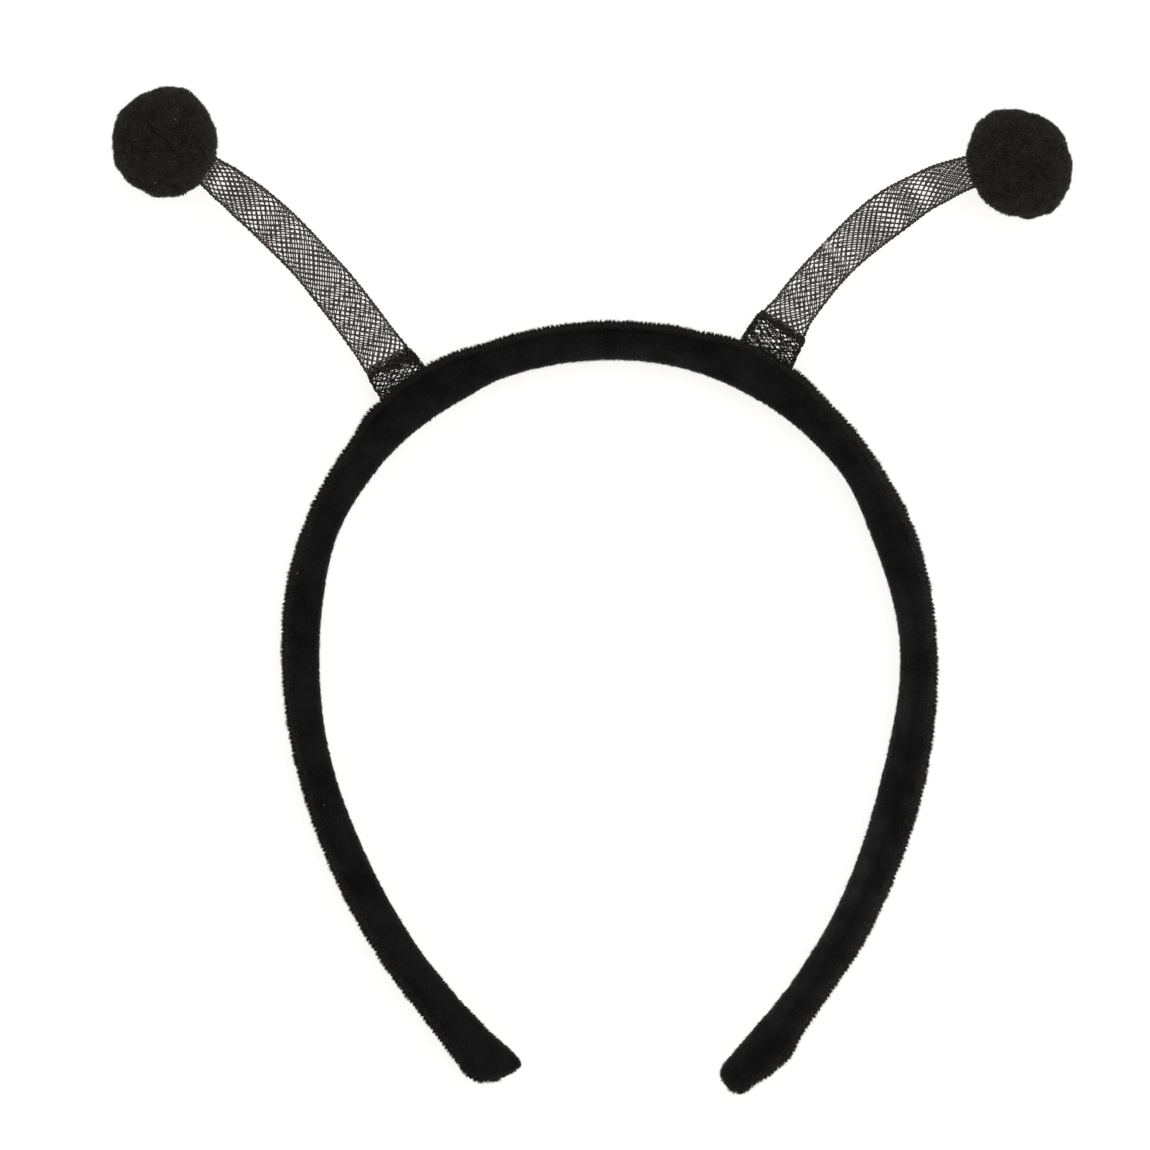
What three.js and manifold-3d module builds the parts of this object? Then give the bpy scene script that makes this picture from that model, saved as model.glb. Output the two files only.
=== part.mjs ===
// Antenna headband: a padded velvet band with two feelers of open braid, each tipped with a ball.
// Millimetres, +Z up. The band lies on its edge on the plane z = 0, with the top of its arch
// towards +Y and its open mouth towards -Y.

import * as THREE from 'three';
import { mergeVertices } from 'three/addons/utils/BufferGeometryUtils.js';
import Module from 'manifold-3d';

const wasm = await Module();
wasm.setup();

// The gap that is left between pieces that touch, and how near two vertices are the same one.
const GAP = 0.3;
const SAME_VERTEX = 1e-4;

// The band's middle line starts at the top of the arch and runs both ways, as arcs that follow
// on from each other. Headings are degrees from +X, and turn is +1 for counter-clockwise.
const ARCH_TOP = { x: 5.0, y: 47.5 };
const MIDDLE_LINE = {
  left: {
    heading: 179.3,
    turn: 1,
    arcs: [
      { sweep: 13.3, radius: 72.6 },
      { sweep: 72.0, radius: 55.9 },
      { sweep: 24.5, radius: 88.9 },
      { sweep: 26.6, radius: 132.2 },
    ],
  },
  right: {
    heading: -0.7,
    turn: -1,
    arcs: [
      { sweep: 17.2, radius: 58.1 },
      { sweep: 43.3, radius: 54.9 },
      { sweep: 35.3, radius: 69.0 },
      { sweep: 37.4, radius: 121.6 },
    ],
  },
};

// The band's section: a flat inner face with round edges, two flat sides and a padded outer face
// that is domed. Depth is along Z, and dome is how far the outer face rises.
const BAND_DEPTH = 10;
const BAND_EDGE = 1.6;
const BAND_DOME = 1.9;
const EDGE_STEPS = 3;
const DOME_STEPS = 8;
const BAND_STEP = 5;

// The band's sections. from_top is along the middle line, inner and outer are how far the two
// faces lie from it, and slant is how far the section leans on towards the tip per millimetre
// that a point lies inside the middle line. The band is fuller under the two feelers, and its
// tips are wrapped thicker but not as deep.
const BAND_SECTIONS = {
  left: [
    { from_top: 0, inner: 3.7, outer: 3.65, depth: 10, slant: 0 },
    { from_top: 24, inner: 3.85, outer: 3.6, depth: 10, slant: 0 },
    { from_top: 33, inner: 4.4, outer: 4.65, depth: 10, slant: 0 },
    { from_top: 41, inner: 4.3, outer: 4.95, depth: 10, slant: 0 },
    { from_top: 48, inner: 4.0, outer: 4.75, depth: 10, slant: 0 },
    { from_top: 56, inner: 3.8, outer: 3.5, depth: 10, slant: 0 },
    { from_top: 71, inner: 3.35, outer: 3.35, depth: 10, slant: 0 },
    { from_top: 85, inner: 3.8, outer: 3.55, depth: 10, slant: 0 },
    { from_top: 116, inner: 3.45, outer: 3.35, depth: 10, slant: 0 },
    { from_top: 144, inner: 3.7, outer: 3.6, depth: 10, slant: 0 },
    { from_top: 157, inner: 3.9, outer: 3.45, depth: 9.8, slant: 0 },
    { from_top: 169, inner: 4.45, outer: 3.15, depth: 9.2, slant: 0.1 },
    { from_top: 177, inner: 4.85, outer: 3.5, depth: 8.4, slant: 0.22 },
    { from_top: 183, inner: 5.35, outer: 4.1, depth: 7.4, slant: 0.38 },
    { from_top: 187, inner: 5.2, outer: 3.85, depth: 6.6, slant: 0.44 },
  ],
  right: [
    { from_top: 0, inner: 3.7, outer: 3.65, depth: 10, slant: 0 },
    { from_top: 14, inner: 3.85, outer: 3.8, depth: 10, slant: 0 },
    { from_top: 22, inner: 3.95, outer: 4.75, depth: 10, slant: 0 },
    { from_top: 28, inner: 4.0, outer: 4.95, depth: 10, slant: 0 },
    { from_top: 34, inner: 3.9, outer: 4.7, depth: 10, slant: 0 },
    { from_top: 42, inner: 3.75, outer: 3.85, depth: 10, slant: 0 },
    { from_top: 54, inner: 3.4, outer: 3.65, depth: 10, slant: 0 },
    { from_top: 68, inner: 4.05, outer: 4.1, depth: 10, slant: 0 },
    { from_top: 90, inner: 3.3, outer: 3.7, depth: 10, slant: 0 },
    { from_top: 118, inner: 4.05, outer: 4.25, depth: 10, slant: 0 },
    { from_top: 144, inner: 3.65, outer: 4.05, depth: 10, slant: 0 },
    { from_top: 160, inner: 3.9, outer: 3.35, depth: 9.4, slant: 0 },
    { from_top: 166, inner: 4.15, outer: 3.4, depth: 8.8, slant: 0 },
    { from_top: 172, inner: 4.4, outer: 4.45, depth: 8.2, slant: 0 },
    { from_top: 176, inner: 4.45, outer: 4.0, depth: 7.7, slant: 0 },
    { from_top: 180.4, inner: 4.3, outer: 2.75, depth: 7.0, slant: 0 },
    { from_top: 183.6, inner: 3.95, outer: 2.8, depth: 6.2, slant: 0 },
  ],
};

// Each tip is rounded over a length, down to a blunt end of this share of the full section.
const TIP_ROUND = 2.2;
const TIP_BLUNT = 0.6;
const TIP_STEPS = 4;

// The two feelers. foot is along the middle line from the top, rim is where the doubled foot
// ends along the feeler, and flare is how wide that foot is against its table below. leave and
// arrive are the headings at the band and at the ball, and reach and hold are the lengths of the
// curve's two handles. Rows give the tube's width in the band's plane and its depth, by how far
// along they lie from the rim into the ball. A ball is
// a little longer one way than across, by the share oval, along the heading long, and turn is how
// far its locks are turned round +Z. Presses are where a ball is pushed in: towards a heading,
// this deep, and fading out over so many degrees.
const BALL_RADIUS = 10.2;
const BALL_SINK = 0.2;
const FEELERS = {
  left: {
    foot: 40.9,
    rim: 9.5,
    flare: 0.97,
    leave: 125.5,
    reach: 22.0,
    arrive: 148.1,
    hold: 30.5,
    ball: { x: -81.15, y: 85.1, long: 82, oval: 1.075, turn: 5 },
    presses: [
      { toward: 32, deep: 0.6, spread: 16 },
      { toward: 110, deep: 0.65, spread: 22 },
      { toward: 244, deep: 0.65, spread: 13 },
    ],
    sections: [
      { along: 0, width: 9.75, depth: 5.6 },
      { along: 0.1, width: 9.1, depth: 5.5 },
      { along: 0.3, width: 8.95, depth: 5.4 },
      { along: 0.44, width: 8.45, depth: 5.4 },
      { along: 0.6, width: 8.6, depth: 5.3 },
      { along: 0.72, width: 8.3, depth: 5.3 },
      { along: 0.82, width: 7.5, depth: 5.2 },
      { along: 0.92, width: 6.3, depth: 5.0 },
      { along: 1, width: 5.8, depth: 4.8 },
    ],
  },
  right: {
    foot: 27.45,
    rim: 11.1,
    flare: 1.015,
    leave: 74.5,
    reach: 8.4,
    arrive: 2.4,
    hold: 26.8,
    ball: { x: 80.9, y: 80.9, long: 111, oval: 1.115, turn: 111 },
    presses: [
      { toward: 78, deep: 0.8, spread: 26 },
      { toward: 223, deep: 0.7, spread: 52 },
      { toward: 265, deep: 0.6, spread: 18 },
    ],
    sections: [
      { along: 0, width: 9.6, depth: 5.6 },
      { along: 0.07, width: 8.55, depth: 5.4 },
      { along: 0.3, width: 8.1, depth: 5.3 },
      { along: 0.57, width: 9.0, depth: 4.7 },
      { along: 0.76, width: 7.8, depth: 5.0 },
      { along: 0.92, width: 6.6, depth: 4.9 },
      { along: 1, width: 6.3, depth: 4.8 },
    ],
  },
};
const STALK_WALL = 1.0;
const STALK_STEP = 2.8;
const TUBE_SIDES = 18;
const LINE_DIVISIONS = 800;

// The doubled foot: its wall is two layers thick, its turned edge makes a proud rim, and it
// flares where it meets the band. Rows run from the band's middle line to the rim.
const CUFF_WALL = 1.3;
const CUFF_SECTIONS = [
  { along: 0, width: 12.0, depth: 6.8 },
  { along: 0.45, width: 11.4, depth: 6.5 },
  { along: 0.62, width: 11.2, depth: 6.3 },
  { along: 0.82, width: 10.85, depth: 6.1 },
  { along: 0.88, width: 10.75, depth: 6.2 },
  { along: 0.96, width: 10.4, depth: 6.2 },
  { along: 1, width: 9.9, depth: 5.8 },
];
const CUFF_STEP = 1.1;

// The balls are cut pile: round locks packed over the whole ball, with shallow valleys between.
const BALL_DETAIL = 8;
const LOCK_COUNT = 54;
const LOCK_DIP = 0.5;
const GOLDEN_TURN = Math.PI * (3 - Math.sqrt(5));

const velvet = new THREE.MeshStandardMaterial({ color: '#171716', roughness: 0.95, metalness: 0 });
const crin = new THREE.MeshStandardMaterial({ color: '#1c1b1c', roughness: 0.35, metalness: 0 });
const pile = new THREE.MeshStandardMaterial({ color: '#201f1e', roughness: 1, metalness: 0 });

// A smooth run through the rows of a table: the value of a column where the key has a given value.
function between(rows, key, at, column) {
  const last = rows.length - 1;
  let i = 0;
  while (i < last - 1 && rows[i + 1][key] < at) {
    i += 1;
  }
  const span = rows[i + 1][key] - rows[i][key];
  const share = THREE.MathUtils.clamp((at - rows[i][key]) / span, 0, 1);
  const eased = share * share * (3 - 2 * share);
  return THREE.MathUtils.lerp(rows[i][column], rows[i + 1][column], eased);
}

// The place and heading on one side of the middle line, at a distance from the top of the arch.
// Past the last arc the line runs on straight.
function onMiddleLine(side, distance) {
  const { heading, turn, arcs } = MIDDLE_LINE[side];
  const place = new THREE.Vector2(ARCH_TOP.x, ARCH_TOP.y);
  let angle = THREE.MathUtils.degToRad(heading);
  let left = distance;
  for (const { sweep, radius } of arcs) {
    const run = Math.min(left, THREE.MathUtils.degToRad(sweep) * radius);
    const bend = (turn * run) / radius;
    const chord = 2 * radius * Math.sin(Math.abs(bend) / 2);
    place.x += chord * Math.cos(angle + bend / 2);
    place.y += chord * Math.sin(angle + bend / 2);
    angle += bend;
    left -= run;
  }
  place.x += left * Math.cos(angle);
  place.y += left * Math.sin(angle);
  return { place, angle };
}

// A closed skin over rings of equal length, with both ends capped by a fan.
function skin(rings) {
  const sides = rings[0].length;
  const points = rings.flat();
  const index = [];
  for (let i = 0; i + 1 < rings.length; i += 1) {
    for (let k = 0; k < sides; k += 1) {
      const a = i * sides + k;
      const b = i * sides + ((k + 1) % sides);
      index.push(a, b, a + sides, b, b + sides, a + sides);
    }
  }
  const lastRing = (rings.length - 1) * sides;
  for (let k = 1; k + 1 < sides; k += 1) {
    index.push(0, k + 1, k);
    index.push(lastRing, lastRing + k, lastRing + k + 1);
  }
  const geometry = new THREE.BufferGeometry().setFromPoints(points);
  geometry.setIndex(index);
  return geometry;
}

// Solids for cutting, and back to shapes again.
function solidOf(geometry) {
  const bare = geometry.clone();
  bare.deleteAttribute('normal');
  bare.deleteAttribute('uv');
  const merged = mergeVertices(bare, SAME_VERTEX);
  const mesh = new wasm.Mesh({
    numProp: 3,
    vertProperties: new Float32Array(merged.attributes.position.array),
    triVerts: new Uint32Array(merged.index.array),
  });
  return new wasm.Manifold(mesh);
}

function shapeOf(solid) {
  const mesh = solid.getMesh();
  const geometry = new THREE.BufferGeometry();
  geometry.setAttribute('position', new THREE.BufferAttribute(mesh.vertProperties, 3));
  geometry.setIndex(new THREE.BufferAttribute(mesh.triVerts, 1));
  geometry.computeVertexNormals();
  return geometry;
}

// The band's section as points (out from the middle line, up from the band's mid plane), grown
// by a margin on every side.
function bandSection({ inner, outer, depth }, margin) {
  const half = depth / 2 + margin;
  const edge = BAND_EDGE + margin;
  const quarter = Math.PI / 2;
  const corner = (x, z, from) => new THREE.EllipseCurve(x, z, edge, edge, from, from + quarter);
  const shoulder = outer - BAND_DOME;
  const dome = new THREE.EllipseCurve(shoulder, 0, BAND_DOME + margin, half, -quarter, quarter);
  const edgeAt = BAND_EDGE - inner;
  return [
    ...dome.getPoints(DOME_STEPS),
    ...corner(edgeAt, half - edge, quarter).getPoints(EDGE_STEPS),
    ...corner(edgeAt, edge - half, 2 * quarter).getPoints(EDGE_STEPS),
  ];
}

// One ring of the band. A share below 1 shrinks it towards its middle, for the rounded tips.
function bandRing(side, distance, share, margin) {
  const rows = BAND_SECTIONS[side];
  const row = {};
  for (const column of ['inner', 'outer', 'depth', 'slant']) {
    row[column] = between(rows, 'from_top', distance, column);
  }
  const { place, angle } = onMiddleLine(side, distance);
  const along = new THREE.Vector2(Math.cos(angle), Math.sin(angle));
  const out = new THREE.Vector2(along.y, -along.x).multiplyScalar(MIDDLE_LINE[side].turn);
  const centre = (row.outer - row.inner) / 2;
  return bandSection(row, margin).map(({ x, y }) => {
    const offset = centre + (x - centre) * share;
    const at = place.clone().addScaledVector(out, offset).addScaledVector(along, -offset * row.slant);
    return new THREE.Vector3(at.x, at.y, BAND_DEPTH / 2 + y * share);
  });
}

// The rings of one side of the band, from the top of the arch to the rounded tip.
function bandSide(side, margin) {
  const end = BAND_SECTIONS[side].at(-1).from_top;
  const straight = end - TIP_ROUND;
  const count = Math.round(straight / BAND_STEP);
  const rings = [];
  for (let i = 0; i <= count; i += 1) {
    rings.push(bandRing(side, (straight * i) / count, 1, margin));
  }
  for (let i = 1; i <= TIP_STEPS; i += 1) {
    const turn = ((Math.PI / 2) * i) / TIP_STEPS;
    const share = TIP_BLUNT + (1 - TIP_BLUNT) * Math.cos(turn);
    rings.push(bandRing(side, straight + TIP_ROUND * Math.sin(turn), share, margin));
  }
  return rings;
}

function bandShape(margin = 0) {
  const left = bandSide('left', margin);
  const right = bandSide('right', margin).slice(1);
  return skin([...left.reverse(), ...right]);
}

// A level direction, from its heading in degrees.
function level(degrees) {
  const angle = THREE.MathUtils.degToRad(degrees);
  return new THREE.Vector3(Math.cos(angle), Math.sin(angle), 0);
}

// A feeler's middle line: it leaves the band's mid plane and rises to the ball's centre.
function feelerLine(side) {
  const { foot, leave, reach, arrive, hold, ball } = FEELERS[side];
  const { place } = onMiddleLine(side, foot);
  const start = new THREE.Vector3(place.x, place.y, BAND_DEPTH / 2);
  const end = new THREE.Vector3(ball.x, ball.y, BALL_RADIUS - BALL_SINK);
  const line = new THREE.CubicBezierCurve3(
    start,
    start.clone().addScaledVector(level(leave), reach),
    end.clone().addScaledVector(level(arrive), -hold),
    end,
  );
  line.arcLengthDivisions = LINE_DIVISIONS;
  return line;
}

// A tube of oval rings along a feeler, from one distance to another. Its sections are read by
// their share of the stretch, and inset makes the same tube narrower all round.
function ovalTube(line, from, to, step, sections, inset) {
  const length = line.getLength();
  const count = Math.ceil((to - from) / step);
  const up = new THREE.Vector3(0, 0, 1);
  const rings = [];
  for (let i = 0; i <= count; i += 1) {
    const share = i / count;
    const u = (from + (to - from) * share) / length;
    const centre = line.getPointAt(u);
    const along = line.getTangentAt(u);
    const across = up.clone().cross(along).normalize();
    const normal = along.clone().cross(across);
    const width = between(sections, 'along', share, 'width') / 2 - inset;
    const depth = between(sections, 'along', share, 'depth') / 2 - inset;
    const ring = [];
    for (let k = 0; k < TUBE_SIDES; k += 1) {
      const turn = (2 * Math.PI * k) / TUBE_SIDES;
      const point = centre.clone().addScaledVector(across, width * Math.cos(turn));
      ring.push(point.addScaledVector(normal, depth * Math.sin(turn)));
    }
    rings.push(ring);
  }
  return solidOf(skin(rings));
}

// The places of the locks on a ball, as directions spread evenly over it.
function lockDirections(turn) {
  return Array.from({ length: LOCK_COUNT }, (_, i) => {
    const height = 1 - (2 * i + 1) / LOCK_COUNT;
    const around = Math.sqrt(1 - height * height);
    const angle = GOLDEN_TURN * i + THREE.MathUtils.degToRad(turn);
    return new THREE.Vector3(around * Math.cos(angle), around * Math.sin(angle), height);
  });
}

// How far a ball is pushed in, in one direction.
function pressed(way, presses) {
  let depth = 0;
  for (const { toward, deep, spread } of presses) {
    const away = THREE.MathUtils.radToDeg(way.angleTo(level(toward)));
    depth += deep * Math.exp(-((away / spread) ** 2));
  }
  return depth;
}

// A ball of locks that is pressed flat where it rests.
function ballShape(side, margin = 0) {
  const { ball, presses } = FEELERS[side];
  const longWay = level(ball.long);
  const locks = lockDirections(ball.turn);
  const lockAngle = 2 / Math.sqrt(LOCK_COUNT);
  const shape = new THREE.IcosahedronGeometry(1, BALL_DETAIL);
  const places = shape.attributes.position;
  for (let i = 0; i < places.count; i += 1) {
    const way = new THREE.Vector3().fromBufferAttribute(places, i).normalize();
    const nearest = Math.min(...locks.map((lock) => lock.angleTo(way)));
    const dip = LOCK_DIP * Math.min(1, (nearest / lockAngle) ** 2) + pressed(way, presses);
    way.multiplyScalar(BALL_RADIUS + margin - dip);
    way.addScaledVector(longWay, (ball.oval - 1) * way.dot(longWay));
    const z = Math.max(way.z + BALL_RADIUS - BALL_SINK, -margin);
    places.setXYZ(i, ball.x + way.x, ball.y + way.y, z);
  }
  shape.deleteAttribute('normal');
  shape.deleteAttribute('uv');
  return mergeVertices(shape, SAME_VERTEX);
}

// The stalk: a hollow tube from the rim of its foot to the ball.
function stalkShape(side) {
  const line = feelerLine(side);
  const { rim, sections } = FEELERS[side];
  const end = line.getLength() - BALL_RADIUS / 2;
  const outer = ovalTube(line, rim + GAP, end, STALK_STEP, sections, 0);
  const hollow = ovalTube(line, rim - GAP, end + GAP, STALK_STEP, sections, STALK_WALL);
  return shapeOf(outer.subtract(hollow).subtract(solidOf(ballShape(side, GAP))));
}

// The doubled foot of a stalk: a sleeve that stands on the band.
function cuffShape(side) {
  const line = feelerLine(side);
  const { rim, flare } = FEELERS[side];
  const sections = CUFF_SECTIONS.map((row) => ({ ...row, width: row.width * flare }));
  const outer = ovalTube(line, 0, rim, CUFF_STEP, sections, 0);
  const hollow = ovalTube(line, 0, rim + GAP, CUFF_STEP, sections, CUFF_WALL);
  return shapeOf(outer.subtract(hollow).subtract(solidOf(bandShape(GAP))));
}

const headband = new THREE.Group();
function add(name, geometry, material) {
  const mesh = new THREE.Mesh(geometry, material);
  mesh.name = name;
  headband.add(mesh);
}

add('band', bandShape(), velvet);
for (const side of ['left', 'right']) {
  add(`cuff_${side}`, cuffShape(side), crin);
  add(`stalk_${side}`, stalkShape(side), crin);
  add(`ball_${side}`, ballShape(side), pile);
}

export default headband;
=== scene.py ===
# Antenna headband, dressed: a velvet band with its pile, two feelers of open crin braid with
# doubled feet, and two pile balls. It lies on a lit white table and is seen from straight above.
import math

import bpy
import numpy as np
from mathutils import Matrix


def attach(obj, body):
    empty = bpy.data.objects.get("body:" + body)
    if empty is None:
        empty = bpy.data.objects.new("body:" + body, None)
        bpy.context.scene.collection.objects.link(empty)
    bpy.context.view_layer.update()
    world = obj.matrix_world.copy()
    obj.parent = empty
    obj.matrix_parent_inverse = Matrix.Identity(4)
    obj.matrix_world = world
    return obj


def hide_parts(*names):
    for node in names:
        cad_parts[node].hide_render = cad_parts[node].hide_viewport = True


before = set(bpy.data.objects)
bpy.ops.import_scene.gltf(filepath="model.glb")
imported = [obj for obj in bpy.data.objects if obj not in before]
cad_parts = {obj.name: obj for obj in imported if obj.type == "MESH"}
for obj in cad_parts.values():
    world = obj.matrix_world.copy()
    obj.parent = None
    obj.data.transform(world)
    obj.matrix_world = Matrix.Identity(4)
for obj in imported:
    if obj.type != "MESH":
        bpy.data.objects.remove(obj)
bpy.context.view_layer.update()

# Lengths in this script are millimetres until a mesh is made, and Blender's unit is the metre.
MM = 0.001
SIDES = ("left", "right")

# The band's middle line, its sections and the feelers, as the part's source has them. Each side of
# the line sets off at its heading, bends the way of its turn, and is arcs of (degrees, radius).
ARCH_TOP = (5.0, 47.5)
MIDDLE_LINE = {
    "left": {"heading": 179.3, "turn": 1, "arcs": [(13.3, 72.6), (72.0, 55.9), (24.5, 88.9), (26.6, 132.2)]},
    "right": {"heading": -0.7, "turn": -1, "arcs": [(17.2, 58.1), (43.3, 54.9), (35.3, 69.0), (37.4, 121.6)]},
}
BAND_DEPTH = 10.0
# How far its inner edges are rounded, and how far its outer face is domed.
BAND_EDGE = 1.6
BAND_DOME = 1.9
# Its tips round off over this run, to this share of their size.
TIP_ROUND = 2.2
TIP_BLUNT = 0.6
# Rows: from the top, inner, outer, depth, slant.
BAND_SECTIONS = {
    "left": [
        (0, 3.7, 3.65, 10, 0), (24, 3.85, 3.6, 10, 0), (33, 4.4, 4.65, 10, 0), (41, 4.3, 4.95, 10, 0),
        (48, 4.0, 4.75, 10, 0), (56, 3.8, 3.5, 10, 0), (71, 3.35, 3.35, 10, 0), (85, 3.8, 3.55, 10, 0),
        (116, 3.45, 3.35, 10, 0), (144, 3.7, 3.6, 10, 0), (157, 3.9, 3.45, 9.8, 0),
        (169, 4.45, 3.15, 9.2, 0.1), (177, 4.85, 3.5, 8.4, 0.22), (183, 5.35, 4.1, 7.4, 0.38),
        (187, 5.2, 3.85, 6.6, 0.44),
    ],
    "right": [
        (0, 3.7, 3.65, 10, 0), (14, 3.85, 3.8, 10, 0), (22, 3.95, 4.75, 10, 0), (28, 4.0, 4.95, 10, 0),
        (34, 3.9, 4.7, 10, 0), (42, 3.75, 3.85, 10, 0), (54, 3.4, 3.65, 10, 0), (68, 4.05, 4.1, 10, 0),
        (90, 3.3, 3.7, 10, 0), (118, 4.05, 4.25, 10, 0), (144, 3.65, 4.05, 10, 0),
        (160, 3.9, 3.35, 9.4, 0), (166, 4.15, 3.4, 8.8, 0), (172, 4.4, 4.45, 8.2, 0),
        (176, 4.45, 4.0, 7.7, 0), (180.4, 4.3, 2.75, 7.0, 0), (183.6, 3.95, 2.8, 6.2, 0),
    ],
}
BALL_RADIUS = 10.2
# A ball rests on a flat place this deep, and its surface is locks with dips between them.
BALL_SINK = 0.2
LOCK_COUNT = 54
LOCK_DIP = 0.5
# The feelers. foot is how far along the band from its top one stands, rim how long its foot is, and
# flare how wide, as a share of the table of feet. It leaves the band and arrives at its ball at
# these headings, and reach and hold are how far it keeps to them. ball is the ball's middle, oval
# how much longer the ball is towards the heading long, and turn how its locks are turned.
# Sections: along, width, depth. Presses on a ball: toward, deep, spread.
FEELERS = {
    "left": {
        "foot": 40.9, "rim": 9.5, "flare": 0.97, "leave": 125.5, "reach": 22.0, "arrive": 148.1, "hold": 30.5,
        "ball": (-81.15, 85.1), "long": 82, "oval": 1.075, "turn": 5,
        "presses": [(32, 0.6, 16), (110, 0.65, 22), (244, 0.65, 13)],
        "sections": [
            (0, 9.75, 5.6), (0.1, 9.1, 5.5), (0.3, 8.95, 5.4), (0.44, 8.45, 5.4), (0.6, 8.6, 5.3),
            (0.72, 8.3, 5.3), (0.82, 7.5, 5.2), (0.92, 6.3, 5.0), (1, 5.8, 4.8),
        ],
    },
    "right": {
        "foot": 27.45, "rim": 11.1, "flare": 1.015, "leave": 74.5, "reach": 8.4, "arrive": 2.4, "hold": 26.8,
        "ball": (80.9, 80.9), "long": 111, "oval": 1.115, "turn": 111,
        "presses": [(78, 0.8, 26), (223, 0.7, 52), (265, 0.6, 18)],
        "sections": [
            (0, 9.6, 5.6), (0.07, 8.55, 5.4), (0.3, 8.1, 5.3), (0.57, 9.0, 4.7), (0.76, 7.8, 5.0),
            (0.92, 6.6, 4.9), (1, 6.3, 4.8),
        ],
    },
}
# A foot's sections: along, width, depth.
CUFF_SECTIONS = [
    (0, 12.0, 6.8), (0.45, 11.4, 6.5), (0.62, 11.2, 6.3), (0.82, 10.85, 6.1), (0.88, 10.75, 6.2),
    (0.96, 10.4, 6.2), (1, 9.9, 5.8),
]
# Steps round the band's section: its dome, each side face, each rounded edge, its inner face, and
# then all round it evenly. Half of a usual section's width.
DOME_STEPS = 60
SIDE_FACE_STEPS = 20
EDGE_STEPS = 16
INNER_FACE_STEPS = 30
WALK_STEPS = 360
USUAL_HALF = 3.7
# Steps along a feeler and round its oval, and a usual stalk's oval, across and deep.
FEELER_STEPS = 800
OVAL_STEPS = 720
STALK_OVAL = (8.5, 5.3)
# Short steps that directions are measured over, on the band and along a feeler.
SURFACE_STEP = 0.05
FEELER_STEP = 0.1
TINY = 1e-12
# Slow waves: the share of each, and how far they are stretched.
WAVES = (1.0, 0.53, 0.31)
WAVE_STRETCH = (0.8, 1.25)

# The velvet. The cover is the cloth that the pile stands on, a little inside the band's size, and
# the pile reaches past it.
COVER_INSET = 0.3
COVER_STEP = 1.2
COVER_ROUND = 72
# The caps that close its tips: their run, their crown, and rings in a cap and in the tip before it.
CAP_RUN = 3.0
CAP_CROWN = 0.5
CAP_RINGS = 8
TIP_RINGS = 6
# Fibres of the pile: how thick, how many in each stretch, and how deep in the cloth they start.
VELVET_FIBRE = 0.14
VELVET_FIBRES = 40000
ROOT_DEEP = 0.08
# Places for fibres are strewn a little, and kept by how much cloth there is round them.
PLACES_PER_FIBRE = 3
VELVET_JITTER = 0.12
FULL_AREA = 0.95
LEAST_AREA = 0.02
# The pile on the outer face stands up in tufts, and on the other faces it lies over along the
# band. long is the pile's length, dense its share of fibres, nap how far it lies over, stray how
# much fibres differ, draw how far they are drawn into tufts, and painted_tip_light how much
# painted light their tips get, paler and warmer than their roots.
PILE_FACES = {
    "outer": {"long": 0.74, "dense": 1.0, "nap": 0.25, "stray": 0.22, "draw": 0.5, "painted_tip_light": 1.0},
    "side": {"long": 0.5, "dense": 0.75, "nap": 1.3, "stray": 0.35, "draw": 0.05, "painted_tip_light": 0.15},
    "inner": {"long": 0.6, "dense": 0.45, "nap": 1.0, "stray": 0.3, "draw": 0.05, "painted_tip_light": 0.3},
}
# The inner face reaches this far each way from its middle, as a share of the way round off the dome.
INNER_HALF = 0.3
# Painted shading on the velvet: it is paler towards its edges, for light and sheen falling on its
# rounded edges, and a little darker in places. Rows: along the band, and how much paler at its
# inner and at its outer edge.
PAINTED_SHADING = [
    (-187, 0.25, 0.0), (-150, 0.15, 0.0), (-110, 0.1, 0.0), (-85, -0.05, 0.15), (-57, 0.25, -0.1),
    (-15, 0.5, -0.2), (8, 0.65, -0.25), (30, 0.4, 0.1), (50, 0.15, 0.6), (70, 0.45, 0.6),
    (100, 0.95, 0.5), (135, 1.2, 0.65), (158, 1.35, 0.6), (184, 0.95, 0.4),
]
# The pile lies towards both tips, and turns over in this far from the top of the arch.
NAP_PARTS = 12.0
NAP_STEP = 0.2
# Tufts: how far apart, how far out of line, in spaces, how uneven, and over how long a run they
# swell and by how much. The fibres in them are longer and shorter by these shares.
VELVET_TUFT = 0.8
TUFT_SHIFT = 0.45
TUFT_UNEVEN = 0.7
TUFT_SWELL = 6.0
TUFT_SWELLS_BY = 0.15
FIBRE_UNEVEN = (0.7, 1.15)
# A shallow crease runs along the arch where the outer face meets each side. Pile in it is shorter.
CREASE_DEEP = 0.35
CREASE_WIDE = 0.4
CREASE_RUN = (-58.0, 72.0)
CREASE_FADE = 8.0
CREASE_SHORTENS = 0.6
VELVET_PARTS = {"left": (-190.0, -62.0), "arch": (-62.0, 62.0), "right": (62.0, 187.0)}

# The balls' pile is denser, and stands in small tufts.
BALL_FACES = 48
BALL_INSET = 0.35
BALL_PILE = 0.7
BALL_FIBRE = 0.17
BALL_TUFTS = 1700
BALL_FIBRES = 30000
# How far fibres and tufts are out of line, in radii, how uneven tufts and their fibres are, how far
# fibres stray, and how far they are drawn to their tuft. Fibres are matched to tufts in blocks.
BALL_JITTER = 0.005
BALL_TUFT_JITTER = 0.02
BALL_TUFT_UNEVEN = (0.65, 1.3)
BALL_FIBRE_UNEVEN = (0.7, 1.1)
BALL_STRAY = 0.4
BALL_DRAW = 0.3
BALL_BLOCKS = 32
# The left ball has a crease on top, as a line in the band's plane. Pile in it is shorter, and gone
# in places, where a draw between two shares is no more than how near the crease is.
BALL_CREASE = {"left": [(-84.4, 88.7), (-83.0, 86.7), (-81.2, 85.6), (-79.2, 83.0)], "right": []}
BALL_CREASE_DEEP = 0.5
BALL_CREASE_WIDE = 0.38
BALL_CREASE_SHORTENS = 0.5
BALL_CREASE_BARES = (0.5, 1.2)
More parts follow.
